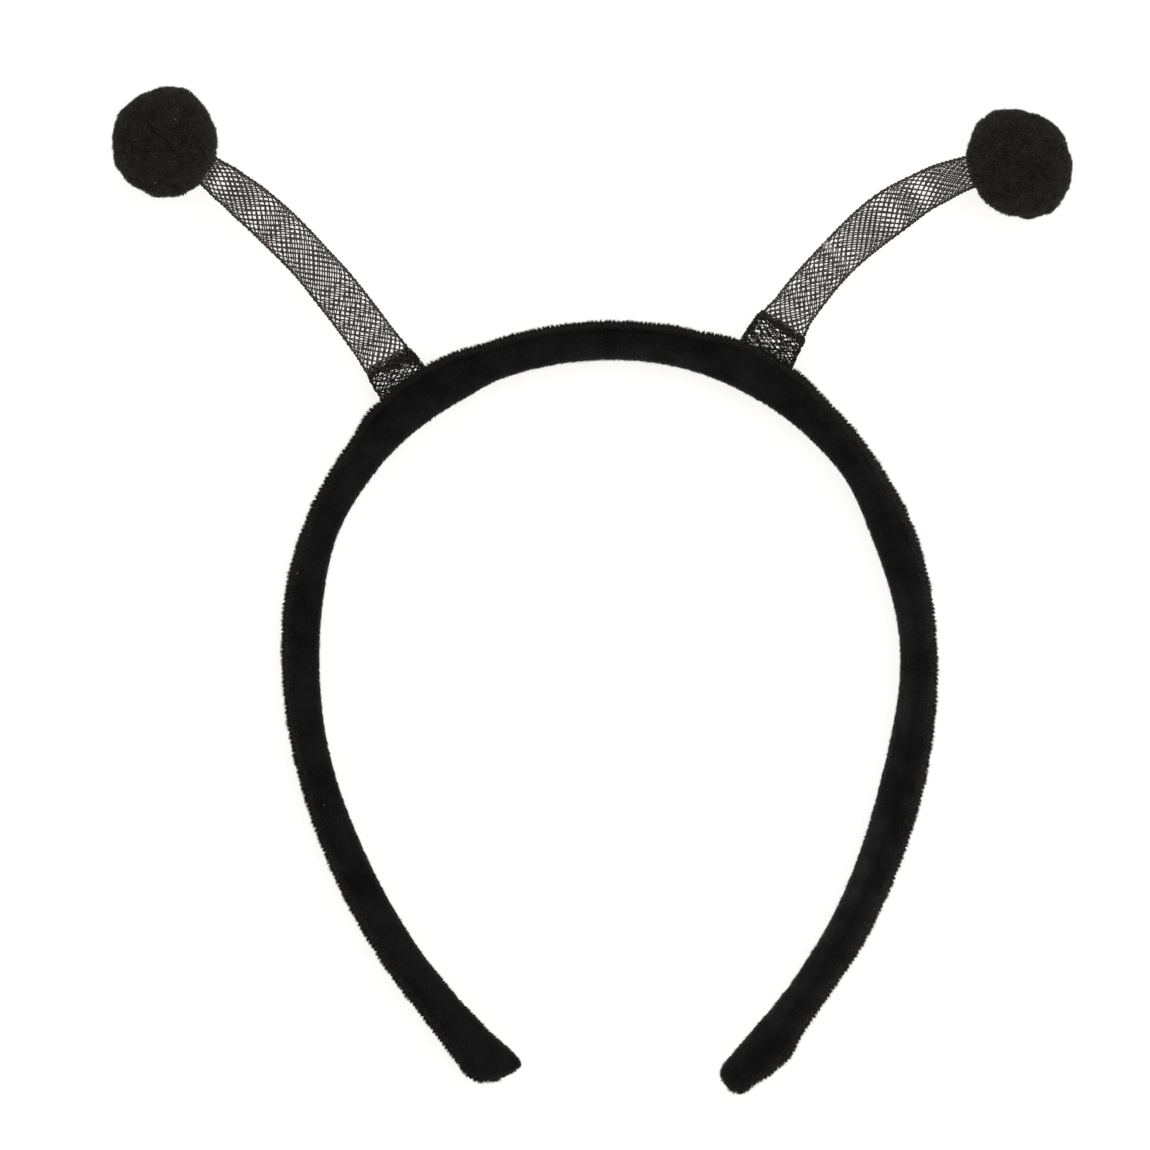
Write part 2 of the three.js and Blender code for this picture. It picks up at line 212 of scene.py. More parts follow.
# Painted shading on the balls: darker on top and paler towards their edge, for their pile seen
# end on and from the side. Rows: from the top of a ball to its edge as a share, and how much paler.
BALL_PAINTED_SHADING = [(0, -0.2), (0.5, -0.12), (0.78, 0.0), (0.9, 0.2), (1, 0.6)]
# Specks of lint on top, as places in the band's plane.
LINT = {
    "band": [(-56.1, 3.2), (-50.9, -41.1)],
    "left": [(-78.7, 91.0), (-78.9, 89.6), (-82.8, 76.5)],
    "right": [(82.9, 86.4), (79.5, 79.6)],
}
LINT_FIBRES = 1
# A fibre is a three-sided spike. Its faces, and where they lie in its cell of the map, inside an edge.
SPIKE_SIDES = 3
SPIKE_FACES = np.array([[0, 1, 3], [1, 2, 3], [2, 0, 3], [0, 2, 1]])
SPIKE_MAP = np.array([
    [(0, 0), (1, 0), (0.5, 0.5)], [(1, 0), (1, 1), (0.5, 0.5)], [(1, 1), (0, 1), (0.5, 0.5)],
    [(0, 0), (0.5, 0.5), (0, 1)],
])
SPIKE_MAP_EDGE = 0.06
# Fibres stay this far above the table.
TABLE_GAP = 0.01

# The crin: braid of 34 strands, half of them each way round. The tucked end in the foot is pushed
# together, and its strands have slipped. strands is how many go each way, angle how far they lean
# round the tube, inset how far inside it they lie, thick a strand's radius, slip how far strands
# stray, in spaces between them, period over how long a run, and held how far from the rim they are
# still nearly in place.
BRAIDS = {
    "stalk": {"strands": 17, "angle": 43, "inset": 0, "thick": 0.14, "slip": 0.1, "period": 16, "held": 3},
    "foot": {"strands": 17, "angle": 43, "inset": 0, "thick": 0.104, "slip": 0.55, "period": 6, "held": 3},
    "tuck": {"strands": 17, "angle": 47, "inset": 0.42, "thick": 0.08, "slip": 0.9, "period": 4, "held": 0.1},
}
STRAND_SIDES = 4
STRAND_STEP = 0.27
FEWEST_STEPS = 8
# Strands have their angle on a tube this far round, and lean more on a wider one, up to this sine.
BRAID_PERIMETER = 22.2
STEEPEST_SINE = 0.9
# How far strands go over and under each other, in radii.
WEAVE_LIFT = 1.08
# A stalk's strands end this far from the middle of its ball, and a foot's start this far from the
# band's middle line.
STALK_INTO_BALL = 5.1
CUFF_FROM = 3.2
# The braid turns slowly on the tube, so that its front and back drift in and out of line: how far,
# in spaces, and which share of that is steady and which swings to and fro, over these runs.
BRAID_TWIST = 1.6
TWIST_STEADY = 0.6
TWIST_RUN = 50.0
TWIST_SWING = 0.4
TWIST_SWING_RUN = 7.0
# A strand's row of the map: its run, its two caps and how wide they are, its edge, and what it fills.
MAP_RUN = 0.96
MAP_CAPS = (0.965, 0.982)
MAP_CAP_WIDE = 0.015
MAP_EDGE = 0.1
MAP_ROW = 0.8
# The frayed edge of the tucked end lies bunched in the rim, this tall on the foot's left edge and
# on its right.
RIM_TALL = {"left": (1.3, 2.6), "right": (0.7, 1.0)}
# How far the rim rises on the foot's left edge and falls on its right.
RIM_TILT = {"left": 0.5, "right": 0.0}
# How far it stands above the foot's end all round.
RIM_LIFT = {"left": 0.7, "right": 0.0}
RIM_STRANDS = 10
RIM_THICK = 0.125
RIM_STEPS = 64
# Its strands go so far round, in turns, and wander down and inwards, over a run and by an amount.
# They start under the foot's end, and none is far over it.
RIM_ROUND = (0.4, 1.0)
RIM_WANDER = (5.0, 0.4)
RIM_DEPTH_WANDER = (3.0, 0.35)
RIM_UNDER = 0.2
RIM_OVER = 0.2
# Cut ends in the rim: how steep at most, in radians, how much longer than the rim is tall, how
# uneven, how far down the rim, as a share of it, and how far over the foot's end at most.
CUT_ENDS = 44
CUT_STEPS = 8
CUT_SLOPE = 1.1
CUT_LONG = 0.5
CUT_UNEVEN = (0.6, 1.2)
CUT_DOWN = 0.9
CUT_OVER = 0.5
# Some of them get a painted glint, where light catches them.
CUT_END_GLINT = 0.7
# Cut ends and bunched strands lie so deep inside the foot.
LOOSE_DEPTH = (0.3, 0.9)
# Strands of the tucked end that lie bunched along the foot's edges. Rows: how far round the edge is,
# in turns, 0 on the left and a half on the right, how many strands, and how far round they spread.
# They stop short of the rim, and wander over a run.
SIDE_BUNCHES = {"left": [(0, 3, 0.04), (0.5, 10, 0.08)], "right": [(0, 10, 0.065), (0.5, 3, 0.03)]}
SIDE_STEPS = 24
SIDE_SHORT = 0.3
SIDE_WANDER_RUN = 6.0
# A painted glint across the right stalk, where it is creased: from and to in the band's plane.
PAINTED_GLINT = ((44.3, 65.8), (50.1, 60.4))
PAINTED_GLINT_WIDE = 0.6
# It lies above this height, whole from so much higher, and is strong where it starts and then faint.
PAINTED_GLINT_ABOVE = 6.0
PAINTED_GLINT_BLEND = 2.0
PAINTED_GLINT_STRONG = 0.7
PAINTED_GLINT_FAINT = 0.2
PAINTED_GLINT_FADE = 7.0

# The studio: half the table's width, the light from all round, the lamp, the camera, and how wide a
# view it has at the height of the things seen. Angles are degrees, and the sensor is millimetres.
TABLE_HALF = 2500.0
SKY_STRENGTH = 0.95
LAMP_AT = (350.0, 450.0, 1300.0)
LAMP_TURNED = (-19, 15, 0)
LAMP_WIDE = 1200.0
LAMP_WATTS = 6
CAMERA_AT = (-3.28, 2.86, 2000.0)
CAMERA_NEAREST = 10.0
SENSOR_WIDE = 36
SEEN_WIDE = 218.5
SEEN_AT_HEIGHT = 8.0

SEEDS = {"band pile": 11, "ball pile": 21, "stalk": 31, "cuff": 41}

GOLDEN_TURN = math.pi * (3 - math.sqrt(5))
# Two steps that spread points evenly over a square, from the number whose cube is 1 more than itself.
PLASTIC = ((9 + math.sqrt(69)) / 18) ** (1 / 3) + ((9 - math.sqrt(69)) / 18) ** (1 / 3)
SPREAD = (1 / PLASTIC, 1 / PLASTIC ** 2)


def linear(hex_colour):
    """A hex sRGB colour as linear RGBA."""
    channels = [int(hex_colour[i:i + 2], 16) / 255 for i in (1, 3, 5)]
    return [c / 12.92 if c <= 0.04045 else ((c + 0.055) / 1.055) ** 2.4 for c in channels] + [1.0]


def node(tree, kind, settings=None, links=None):
    """Adds a node. Settings go to its input of that name, or else to its property."""
    new = tree.nodes.new(kind)
    for name, value in (settings or {}).items():
        if isinstance(name, int) or name in new.inputs:
            new.inputs[name].default_value = value
        else:
            setattr(new, name, value)
    for name, source in (links or {}).items():
        tree.links.new(source, new.inputs[name])
    return new


def blank_material(name):
    """A material with nothing in its node tree, and that tree."""
    material = bpy.data.materials.new(name)
    material.use_nodes = True
    tree = material.node_tree
    tree.nodes.clear()
    return material, tree


def surface(tree, settings, links):
    """A material's shader, joined to its output."""
    shader = node(tree, "ShaderNodeBsdfPrincipled", settings, links)
    node(tree, "ShaderNodeOutputMaterial", links={"Surface": shader.outputs["BSDF"]})


def per_mm(size):
    """The scale of a texture whose features are this many millimetres across."""
    return 1 / (size * MM)


def black_velvet(name, patch_size, dark, light, tip, gloss, sheen):
    """Black velvet: a woven ground with short cut pile. The pile swallows light, so it is nearly
    black and quite matt, and a little paler in patches where it lies over. Painted shading makes it
    paler where it turns away, and painted light makes its fibres paler and warmer towards their tips."""
    loop_size = 0.8
    material, tree = blank_material(name)
    where = node(tree, "ShaderNodeTexCoord").outputs["Object"]
    patches = node(
        tree, "ShaderNodeTexNoise", {"Scale": per_mm(patch_size), "Detail": 3, "Roughness": 0.6},
        {"Vector": where},
    )
    loops = node(tree, "ShaderNodeTexNoise", {"Scale": per_mm(loop_size), "Detail": 2}, {"Vector": where})
    patch = node(
        tree, "ShaderNodeMapRange", {"From Min": 0.36, "From Max": 0.66}, {"Value": patches.outputs["Fac"]}
    )
    loop = node(
        tree, "ShaderNodeMapRange", {"From Min": 0.35, "From Max": 0.7}, {"Value": loops.outputs["Fac"]}
    )
    # Painted light: fibres go paler and warmer towards their tips.
    tip_light_mark = node(tree, "ShaderNodeAttribute", {"attribute_name": "painted_tip_light"})
    painted_tip_light = node(
        tree, "ShaderNodeMath", {"operation": "MULTIPLY"},
        {0: tip_light_mark.outputs["Fac"], 1: loop.outputs["Result"]},
    )
    lie = node(
        tree, "ShaderNodeMixRGB", {"Color1": linear(dark), "Color2": linear(light)},
        {"Fac": patch.outputs["Result"]},
    )
    tipped = node(
        tree, "ShaderNodeMixRGB", {"Color2": linear(tip)},
        {"Fac": painted_tip_light.outputs["Value"], "Color1": lie.outputs["Color"]},
    )
    # Painted shading: a mark that makes the colour paler or darker by place.
    painted_shading_mark = node(tree, "ShaderNodeAttribute", {"attribute_name": "painted_shading"})
    paler = node(tree, "ShaderNodeMath", {"operation": "ADD", 1: 1.0}, {0: painted_shading_mark.outputs["Fac"]})
    colour = node(
        tree, "ShaderNodeMixRGB", {"blend_type": "MULTIPLY", "Fac": 1.0},
        {"Color1": tipped.outputs["Color"], "Color2": paler.outputs["Value"]},
    )
    rough = node(
        tree, "ShaderNodeMapRange", {"To Min": 0.75, "To Max": 0.95}, {"Value": loops.outputs["Fac"]}
    )
    bump = node(
        tree, "ShaderNodeBump", {"Strength": 0.3, "Distance": 0.1 * MM}, {"Height": loops.outputs["Fac"]}
    )
    surface(
        tree, {"IOR": 1.5, "Specular IOR Level": gloss, "Sheen Weight": sheen, "Sheen Roughness": 0.5},
        {
            "Base Color": colour.outputs["Color"],
            "Roughness": rough.outputs["Result"],
            "Normal": bump.outputs["Normal"],
        },
    )
    return material


def cotton_lint():
    """Pale cotton lint caught in pile: off-white, matt."""
    tangle_size = 2
    material, tree = blank_material("cotton lint")
    where = node(tree, "ShaderNodeTexCoord").outputs["Object"]
    shade = node(tree, "ShaderNodeTexNoise", {"Scale": per_mm(tangle_size)}, {"Vector": where})
    colour = node(
        tree, "ShaderNodeMixRGB", {"Color1": linear("#6e675f"), "Color2": linear("#cfc8be")},
        {"Fac": shade.outputs["Fac"]},
    )
    surface(tree, {"Roughness": 0.9}, {"Base Color": colour.outputs["Color"]})
    return material


def black_crin():
    """Crin: black nylon monofilament, drawn smooth and braided. It has a small sharp gloss, and its
    dye is a little uneven along each strand. Painted shade makes it blacker in the doubled feet, and
    a painted glint makes it pale in a streak on the right stalk and on some cut ends."""
    dye_run = 3
    material, tree = blank_material("black nylon monofilament")
    where = node(tree, "ShaderNodeTexCoord").outputs["Object"]
    dye = node(tree, "ShaderNodeTexNoise", {"Scale": per_mm(dye_run), "Detail": 2}, {"Vector": where})
    dyed = node(
        tree, "ShaderNodeMixRGB", {"Color1": linear("#2e2927"), "Color2": linear("#524a46")},
        {"Fac": dye.outputs["Fac"]},
    )
    # Painted shade: the strands of the feet are darker.
    painted_shade_mark = node(tree, "ShaderNodeAttribute", {"attribute_name": "bunched_and_shaded"})
    depth = node(
        tree, "ShaderNodeMixRGB", {"Color2": linear("#181715")},
        {"Fac": painted_shade_mark.outputs["Fac"], "Color1": dyed.outputs["Color"]},
    )
    # Painted glint: a pale streak on the right stalk and pale cut ends.
    painted_glint_mark = node(tree, "ShaderNodeAttribute", {"attribute_name": "painted_glint"})
    colour = node(
        tree, "ShaderNodeMixRGB", {"Color2": linear("#b5b0ac")},
        {"Fac": painted_glint_mark.outputs["Fac"], "Color1": depth.outputs["Color"]},
    )
    rough = node(tree, "ShaderNodeMapRange", {"To Min": 0.25, "To Max": 0.5}, {"Value": dye.outputs["Fac"]})
    bump = node(
        tree, "ShaderNodeBump", {"Strength": 0.15, "Distance": 0.02 * MM}, {"Height": dye.outputs["Fac"]}
    )
    surface(
        tree, {"IOR": 1.53, "Specular IOR Level": 0.15},
        {
            "Base Color": colour.outputs["Color"],
            "Roughness": rough.outputs["Result"],
            "Normal": bump.outputs["Normal"],
        },
    )
    return material


def lit_acrylic():
    """The table under the headband: opal white acrylic, lit from below so that shadows wash out."""
    haze_size = 40
    material, tree = blank_material("lit opal acrylic")
    where = node(tree, "ShaderNodeTexCoord").outputs["Object"]
    haze = node(tree, "ShaderNodeTexNoise", {"Scale": per_mm(haze_size)}, {"Vector": where})
    colour = node(
        tree, "ShaderNodeMixRGB", {"Color1": linear("#8c8c8c"), "Color2": linear("#949494")},
        {"Fac": haze.outputs["Fac"]},
    )
    glow = {"Emission Color": linear("#fffefb"), "Emission Strength": 0.8}
    surface(
        tree, {"Roughness": 0.6, "Specular IOR Level": 0.1, **glow},
        {"Base Color": colour.outputs["Color"]},
    )
    return material


def make_piece(name, points, faces, materials, map_points=None, smooth=True, material_of=None, marks=None):
    """A mesh of these points in millimetres. Faces are arrays, each of faces with as many corners."""
    mesh = bpy.data.meshes.new(name)
    corners = np.concatenate([f.ravel() for f in faces]).astype(np.int32)
    sizes = np.concatenate([np.full(len(f), f.shape[1]) for f in faces])
    mesh.vertices.add(len(points))
    mesh.loops.add(len(corners))
    mesh.polygons.add(len(sizes))
    mesh.vertices.foreach_set("co", (np.asarray(points) * MM).astype(np.float32).ravel())
    mesh.loops.foreach_set("vertex_index", corners)
    mesh.polygons.foreach_set("loop_start", (np.cumsum(sizes) - sizes).astype(np.int32))
    mesh.polygons.foreach_set("use_smooth", np.full(len(sizes), smooth))
    if material_of is not None:
        mesh.polygons.foreach_set("material_index", material_of.astype(np.int32))
    if map_points is not None:
        layer = mesh.uv_layers.new(name="OFBake")
        layer.data.foreach_set("uv", np.asarray(map_points).astype(np.float32).ravel())
    for mark, values in (marks or {}).items():
        mesh.attributes.new(mark, "FLOAT", "POINT").data.foreach_set("value", values.astype(np.float32))
    for material in materials:
        mesh.materials.append(material)
    mesh.update()
    mesh.validate()
    piece = bpy.data.objects.new(name, mesh)
    bpy.context.scene.collection.objects.link(piece)
    return piece


def ring_faces(rings, wide):
    """Faces of a closed form of rings of points with its two end points after them: quads between
    the rings, and a fan to each end."""
    i, k = np.meshgrid(np.arange(rings - 1), np.arange(wide), indexing="ij")
    a, b = i * wide + k, i * wide + (k + 1) % wide
    quads = np.stack([a, b, b + wide, a + wide], -1).reshape(-1, 4)
    k = np.arange(wide)
    nxt = (k + 1) % wide
    last = (rings - 1) * wide
    end = np.full_like(k, rings * wide)
    fans = [np.stack([nxt, k, end], -1), np.stack([last + k, last + nxt, end + 1], -1)]
    return quads, np.concatenate(fans)


def unit(vectors):
    """Vectors of length 1 the same way."""
    return vectors / np.linalg.norm(vectors, axis=-1, keepdims=True)


def level(degrees):
    """A level direction, from its heading."""
    return np.array([math.cos(math.radians(degrees)), math.sin(math.radians(degrees)), 0])


def run_along(points):
    """How far along a line each of its points is."""
    return np.concatenate([[0], np.cumsum(np.linalg.norm(np.diff(points, axis=0), axis=1))])


def off_line(points, start, end):
    """How far points are from a line in the band's plane, and at what share of its run."""
    start, along = np.array(start), np.array(end) - np.array(start)
    share = np.clip((points[:, :2] - start) @ along / (along @ along), 0, 1)
    return np.linalg.norm(points[:, :2] - start - share[:, None] * along, axis=1), share


def between(rows, at, column):
    """A smooth run through a column of a table, where its first column has the given values."""
    keys = np.array([row[0] for row in rows], float)
    values = np.array([row[column] for row in rows], float)
    i = np.clip(np.searchsorted(keys, at) - 1, 0, len(keys) - 2)
    share = np.clip((at - keys[i]) / (keys[i + 1] - keys[i]), 0, 1)
    return values[i] + (values[i + 1] - values[i]) * share * share * (3 - 2 * share)


def wobble(rng, at, period, amount, count):
    """Slow seeded waves along a run, one set for each of count strands."""
    total = np.zeros((count,) + np.shape(at))
    one_each = (count,) + (1,) * np.ndim(at)
    for wave in WAVES:
        phase = rng.uniform(0, 2 * math.pi, one_each)
        stretch = rng.uniform(*WAVE_STRETCH, one_each)
        total += wave * np.sin(2 * math.pi * at / (period * wave) * stretch + phase)
    return amount * total / sum(WAVES)


# The band's surface.

def on_middle_line(side, distance):
    """Places and headings along one side of the middle line, from the top of the arch."""
    line = MIDDLE_LINE[side]
    left = np.array(distance, float)
    angle = np.full_like(left, math.radians(line["heading"]))
    x = np.full_like(left, ARCH_TOP[0])
    y = np.full_like(left, ARCH_TOP[1])
    for sweep, radius in line["arcs"]:
        run = np.minimum(left, math.radians(sweep) * radius)
        bend = line["turn"] * run / radius
        chord = 2 * radius * np.sin(np.abs(bend) / 2)
        x += chord * np.cos(angle + bend / 2)
        y += chord * np.sin(angle + bend / 2)
        angle += bend
        left -= run
    return x + left * np.cos(angle), y + left * np.sin(angle), angle


def section_walk():
    """Points round the band's section as weights (1, inner, outer) for x and (1, depth) for z,
    evenly spaced round a usual section. Also how far it is round that, and what share is dome."""
    quarter = math.pi / 2
    walk = []
    for a in np.linspace(-quarter, quarter, DOME_STEPS + 1):
        walk.append((BAND_DOME * (math.cos(a) - 1), 0, 1, 0, math.sin(a) / 2))
    for f in np.linspace(0, 1, SIDE_FACE_STEPS + 1)[1:]:
        walk.append((BAND_EDGE * f - BAND_DOME * (1 - f), -f, 1 - f, 0, 0.5))
    for a in np.linspace(quarter, 2 * quarter, EDGE_STEPS + 1)[1:]:
        walk.append((BAND_EDGE * (1 + math.cos(a)), -1, 0, BAND_EDGE * (math.sin(a) - 1), 0.5))
    for f in np.linspace(0, 1, INNER_FACE_STEPS + 1)[1:]:
        walk.append((0, -1, 0, -BAND_EDGE * (1 - 2 * f), 0.5 - f))
    for a in np.linspace(2 * quarter, 3 * quarter, EDGE_STEPS + 1)[1:]:
        walk.append((BAND_EDGE * (1 + math.cos(a)), -1, 0, BAND_EDGE * (math.sin(a) + 1), -0.5))
    for f in np.linspace(1, 0, SIDE_FACE_STEPS + 1)[1:]:
        walk.append((BAND_EDGE * f - BAND_DOME * (1 - f), -f, 1 - f, 0, -0.5))
    walk = np.array(walk)
    usual = walk @ np.array([[1, 0], [USUAL_HALF, 0], [USUAL_HALF, 0], [0, 1], [0, BAND_DEPTH]])
    run = run_along(usual)
    even = np.linspace(0, run[-1], WALK_STEPS + 1)
    weights = np.stack([np.interp(even, run, column) for column in walk.T], axis=1)
    return weights, run[-1], run[DOME_STEPS] / run[-1]


WALK, BAND_ROUND, DOME_SHARE = section_walk()


def crease(run, turn):
    """How deep the crease is: it fades out at its ends, and lies at both shoulders of the dome."""
    low, high = CREASE_RUN
    fade = np.clip(np.minimum(run - low, high - run) / CREASE_FADE, 0, 1)
    upper, lower = np.mod(turn, 1) - DOME_SHARE, np.mod(turn + 0.5, 1) - 0.5
    near = np.minimum(np.abs(upper), np.abs(lower)) * BAND_ROUND / CREASE_WIDE
    return CREASE_DEEP * fade * np.exp(-near ** 2)


def on_band(run, turn):
    """Points on the band. run is along the middle line from the top of the arch, less than nothing
    on the left, and runs on past the tips to close them. turn is the share of the way round."""
    points = np.zeros(np.shape(run) + (3,))
    place = np.mod(turn, 1.0) * (len(WALK) - 1)
    i = np.minimum(place.astype(int), len(WALK) - 2)
    weights = WALK[i] + (WALK[i + 1] - WALK[i]) * (place - i)[..., None]
    for side in SIDES:
        mine = (run < 0) if side == "left" else (run >= 0)
        rows = BAND_SECTIONS[side]
        end = rows[-1][0]
        distance = np.abs(run[mine])
        inner, outer, depth, slant = (between(rows, np.minimum(distance, end), k) for k in (1, 2, 3, 4))
        round_off = np.clip((distance - end + TIP_ROUND) / TIP_ROUND, 0, 1)
        share = TIP_BLUNT + (1 - TIP_BLUNT) * np.sqrt(1 - round_off ** 2)
        close = np.clip((distance - end) / CAP_RUN, 0, 1)
        share = share * np.sqrt(1 - close ** 2)
        x, y, angle = on_middle_line(side, np.minimum(distance, end) + CAP_CROWN * close)
        along = np.stack([np.cos(angle), np.sin(angle)], -1)
        out = np.stack([along[..., 1], -along[..., 0]], -1) * MIDDLE_LINE[side]["turn"]
        w = weights[mine]
        centre = (outer - inner) / 2
        offset = centre + (w[..., 0] + w[..., 1] * inner + w[..., 2] * outer - centre) * share
        rise = (w[..., 3] + w[..., 4] * depth) * share
        rise = rise - np.sign(rise) * crease(run[mine], turn[mine])
        flat = np.stack([x, y], -1) + out * offset[..., None] - along * (offset * slant)[..., None]
        points[mine] = np.concatenate([flat, (BAND_DEPTH / 2 + rise)[..., None]], -1)
    return points


def band_normals(run, turn):
    """Outward normals of the band, from small steps over its surface, and how much surface there is
    for each step, as a share of a usual section's."""
    swing = SURFACE_STEP / BAND_ROUND
    along = on_band(run + SURFACE_STEP, turn) - on_band(run - SURFACE_STEP, turn)
    around = on_band(run, turn + swing) - on_band(run, turn - swing)
    normal = np.cross(around, along)
    size = np.linalg.norm(normal, axis=-1, keepdims=True)
    area = size[..., 0] / (4 * SURFACE_STEP * SURFACE_STEP)
    return normal / np.maximum(size, TINY), area


def painted_shading(run, turn):
    """How much paler painted shading makes the velvet at these places, rising from the middle to
    the two edges.
    """
    place = np.mod(turn, 1.0) * (len(WALK) - 1)
    across = np.interp(place, np.arange(len(WALK)), WALK[:, 1] + WALK[:, 2])
    inner, outer = between(PAINTED_SHADING, run, 1), between(PAINTED_SHADING, run, 2)
    return inner * np.clip(-across, 0, 1) + outer * np.clip(across, 0, 1)


def band_cover(velvet_ground):
    """The cloth that the pile stands on: one closed padded form."""
    ends = [BAND_SECTIONS[side][-1][0] for side in SIDES]
    caps = CAP_RUN * np.sin(np.linspace(0, math.pi / 2, CAP_RINGS + 1))[1:-1]
    rounds = TIP_ROUND * np.sin(np.linspace(0, math.pi / 2, TIP_RINGS + 1))[1:]
    middle = np.linspace(-ends[0] + TIP_ROUND, ends[1] - TIP_ROUND, int(sum(ends) / COVER_STEP))
    runs = np.concatenate([
        -(ends[0] + caps[::-1]), -(ends[0] - TIP_ROUND + rounds)[::-1], middle,
        ends[1] - TIP_ROUND + rounds, ends[1] + caps,
    ])
    turns = np.arange(COVER_ROUND) / COVER_ROUND
    run, turn = np.meshgrid(runs, turns, indexing="ij")
    normal, _ = band_normals(run, turn)
    points = on_band(run, turn) - normal * COVER_INSET
    tips = [on_band(np.array([way * (end + CAP_RUN)]), np.zeros(1)) for way, end in zip((-1, 1), ends)]
    points = np.concatenate([points.reshape(-1, 3), *tips])
    # Painted shading on the cloth, as on its pile.
    marks = {"painted_shading": np.concatenate([painted_shading(run, turn).ravel(), np.zeros(len(tips))])}
    faces = ring_faces(len(runs), COVER_ROUND)
    return make_piece("band_cover", points, faces, [velvet_ground], marks=marks)


# Pile.

def spikes(name, roots, tips, width, rng, materials, lint_places, painted_tip_light, pale):
    """Pile as closed spikes, each a three-sided fibre from its root to its tip. At each place of
    lint, a long fibre on top is of lint. painted_tip_light and pale are of each fibre: how much
    painted light its tip gets, and how much painted shading makes it paler or darker."""
    count = len(roots)
    way = unit(tips - roots)
    side = unit(np.cross(way, unit(rng.normal(size=(count, 3)))))
    other = np.cross(way, side)
    points = np.zeros((count, SPIKE_SIDES + 1, 3))
    for k in range(SPIKE_SIDES):
        turn = 2 * math.pi * k / SPIKE_SIDES
        points[:, k] = roots + width / 2 * (math.cos(turn) * side + math.sin(turn) * other)
    points[:, -1] = tips
    points[..., 2] = np.maximum(points[..., 2], TABLE_GAP)
    faces = (np.arange(count)[:, None, None] * (SPIKE_SIDES + 1) + SPIKE_FACES).reshape(-1, 3)
    across = math.ceil(math.sqrt(count))
    cell = np.stack([np.arange(count) % across, np.arange(count) // across], -1)
    in_cell = SPIKE_MAP_EDGE + (1 - 2 * SPIKE_MAP_EDGE) * SPIKE_MAP
    map_points = (cell[:, None, None, :] + in_cell) / across
    is_lint = np.zeros(count, bool)
    length = np.linalg.norm(tips - roots, axis=1)
    below = tips[:, 2] < tips[:, 2].mean()
    for place in lint_places:
        far = np.linalg.norm(tips[:, :2] - place, axis=1) - length
        far[below] = np.inf
        is_lint[np.argsort(far)[:LINT_FIBRES]] = True
    # Painted light at each fibre's tip, fading to none at its root.
    tip_light_points = np.zeros((count, SPIKE_SIDES + 1))
    tip_light_points[:, -1] = painted_tip_light
    marks = {"painted_tip_light": tip_light_points.ravel(), "painted_shading": np.repeat(pale, SPIKE_SIDES + 1)}
    return make_piece(
        name, points.reshape(-1, 3), [faces], materials, map_points, smooth=False,
        material_of=np.repeat(is_lint, len(SPIKE_FACES)), marks=marks,
    )


def pile_face(turn, column):
    """A column of the table of faces, for places round the band."""
    middle_of_inner = (1 + DOME_SHARE) / 2
    outer = turn < DOME_SHARE
    inner = np.abs(turn - middle_of_inner) < INNER_HALF * (1 - DOME_SHARE)
    of = {face: values[column] for face, values in PILE_FACES.items()}
    return np.where(outer, of["outer"], np.where(inner, of["inner"], of["side"]))


def band_pile(part, velvet_pile, lint, seed):
    """The pile of one stretch of the band. It lies towards the tips, and its tufts swell and fade."""
    rng = np.random.default_rng(seed)
    low, high = VELVET_PARTS[part]
    n = np.arange(VELVET_FIBRES * PLACES_PER_FIBRE)
    run = low + (high - low) * np.mod(0.5 + n * SPREAD[0], 1) + rng.normal(0, VELVET_JITTER, len(n))
    turn = np.mod(0.5 + n * SPREAD[1] + rng.normal(0, VELVET_JITTER / BAND_ROUND, len(n)), 1)
    normal, area = band_normals(run, turn)
    wanted = area * pile_face(turn, "dense") > rng.random(len(n)) * FULL_AREA
    keep = np.flatnonzero(wanted & (area > LEAST_AREA))[:VELVET_FIBRES]
    run, turn, normal = run[keep], turn[keep], normal[keep]
    rows = round(BAND_ROUND / VELVET_TUFT)
    column = np.round(run / VELVET_TUFT).astype(int)
    row = np.round(turn * rows).astype(int) % rows
    columns = column.max() - column.min() + 1
    shift = rng.uniform(-TUFT_SHIFT, TUFT_SHIFT, (columns, rows, 3))[column - column.min(), row]
    centre = on_band((column + shift[:, 0]) * VELVET_TUFT, (row + shift[:, 1]) / rows)
    swell = 1 + wobble(rng, run, TUFT_SWELL, TUFT_SWELLS_BY, 1)[0]
    of_tuft = 1 + TUFT_UNEVEN * shift[:, 2]
    length = pile_face(turn, "long") * of_tuft * rng.uniform(*FIBRE_UNEVEN, len(run))
    in_crease = 1 - CREASE_SHORTENS * crease(run, turn) / CREASE_DEEP
    length = length * np.where(turn < DOME_SHARE, swell, 1) * in_crease
    on_cloth = on_band(run, turn)
    towards_tip = np.clip(run / NAP_PARTS, -1, 1)[:, None]
    nap = unit(on_band(run + NAP_STEP, turn) - on_cloth) * towards_tip
    roots = on_cloth - normal * (COVER_INSET + ROOT_DEEP)
    stray = rng.normal(0, 1, (len(run), 3)) * pile_face(turn, "stray")[:, None]
    lean = nap * pile_face(turn, "nap")[:, None] + stray
    draw = (centre - on_cloth) * pile_face(turn, "draw")[:, None]
    tips = roots + unit(normal + lean) * length[:, None] + draw
    lint_places = LINT["band"] if part == "left" else []
    # Painted light at the tips, and painted shading by place.
    return spikes(
        f"band_pile_{part}", roots, tips, VELVET_FIBRE, rng, [velvet_pile, lint], lint_places,
        pile_face(turn, "painted_tip_light"), painted_shading(run, turn),
    )


# The balls.

def golden_directions(count, turn=0.0):
    """Directions spread evenly over a ball, turned round +Z."""
    n = np.arange(count)
    height = 1 - (2 * n + 1) / count
    around = np.sqrt(1 - height ** 2)
    angle = GOLDEN_TURN * n + math.radians(turn)
    return np.stack([around * np.cos(angle), around * np.sin(angle), height], -1)


def ball_centre(side):
    """The middle of a ball, which rests on the table."""
    return np.array([*FEELERS[side]["ball"], BALL_RADIUS - BALL_SINK])


